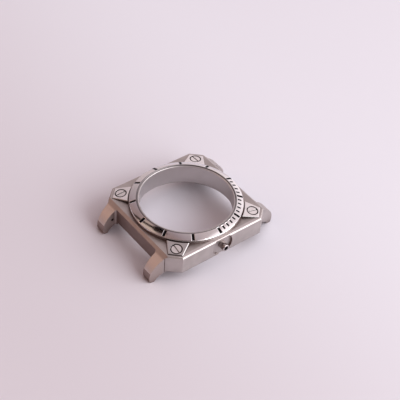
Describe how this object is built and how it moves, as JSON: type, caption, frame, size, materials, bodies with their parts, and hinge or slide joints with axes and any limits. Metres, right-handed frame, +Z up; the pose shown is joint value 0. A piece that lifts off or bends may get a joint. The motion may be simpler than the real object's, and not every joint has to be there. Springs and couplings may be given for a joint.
{
  "type": "wristwatch case with rotating bezel",
  "caption": "Empty wristwatch case: faceted block with hooked lugs, a turning bezel with minute marks, wedge plates with slotted screws on the corners, and a crown tube.",
  "frame": {"origin": "on the case bore's axis, in the plane of the underside where a case back seats", "axes": "+X to the crown side (3 o'clock), +Y to 12 o'clock, +Z up through the crystal opening"},
  "size_m": [0.04, 0.0488, 0.012],
  "materials": {
    "case_steel": "fine matte, slightly warm",
    "plate_steel": "satin",
    "bezel_steel": "polished",
    "screw_steel": "satin",
    "tube_steel": "turned",
    "spring_steel": "bright",
    "lacquer": "gloss black",
    "gasket": "matte"
  },
  "bodies": {
    "case": {"mid_case": "case_steel", "retaining_wire": "spring_steel", "slip_ring": "gasket", "click_spring": "spring_steel", "crown_tube": "tube_steel", "corner_plate_right": "plate_steel", "corner_plate_top": "plate_steel", "corner_plate_left": "plate_steel", "corner_plate_front": "plate_steel", "corner_screws": "screw_steel"},
    "bezel": {"bezel_ring": "bezel_steel", "bezel_bold_marks": "lacquer", "bezel_fine_marks": "lacquer"}
  },
  "joints": [
    {"name": "bezel_turn", "type": "hinge", "parent": "case", "child": "bezel", "pos_m": [0, 0, 0.0075], "axis": [0, 0, 1], "continuous": true}
  ]
}
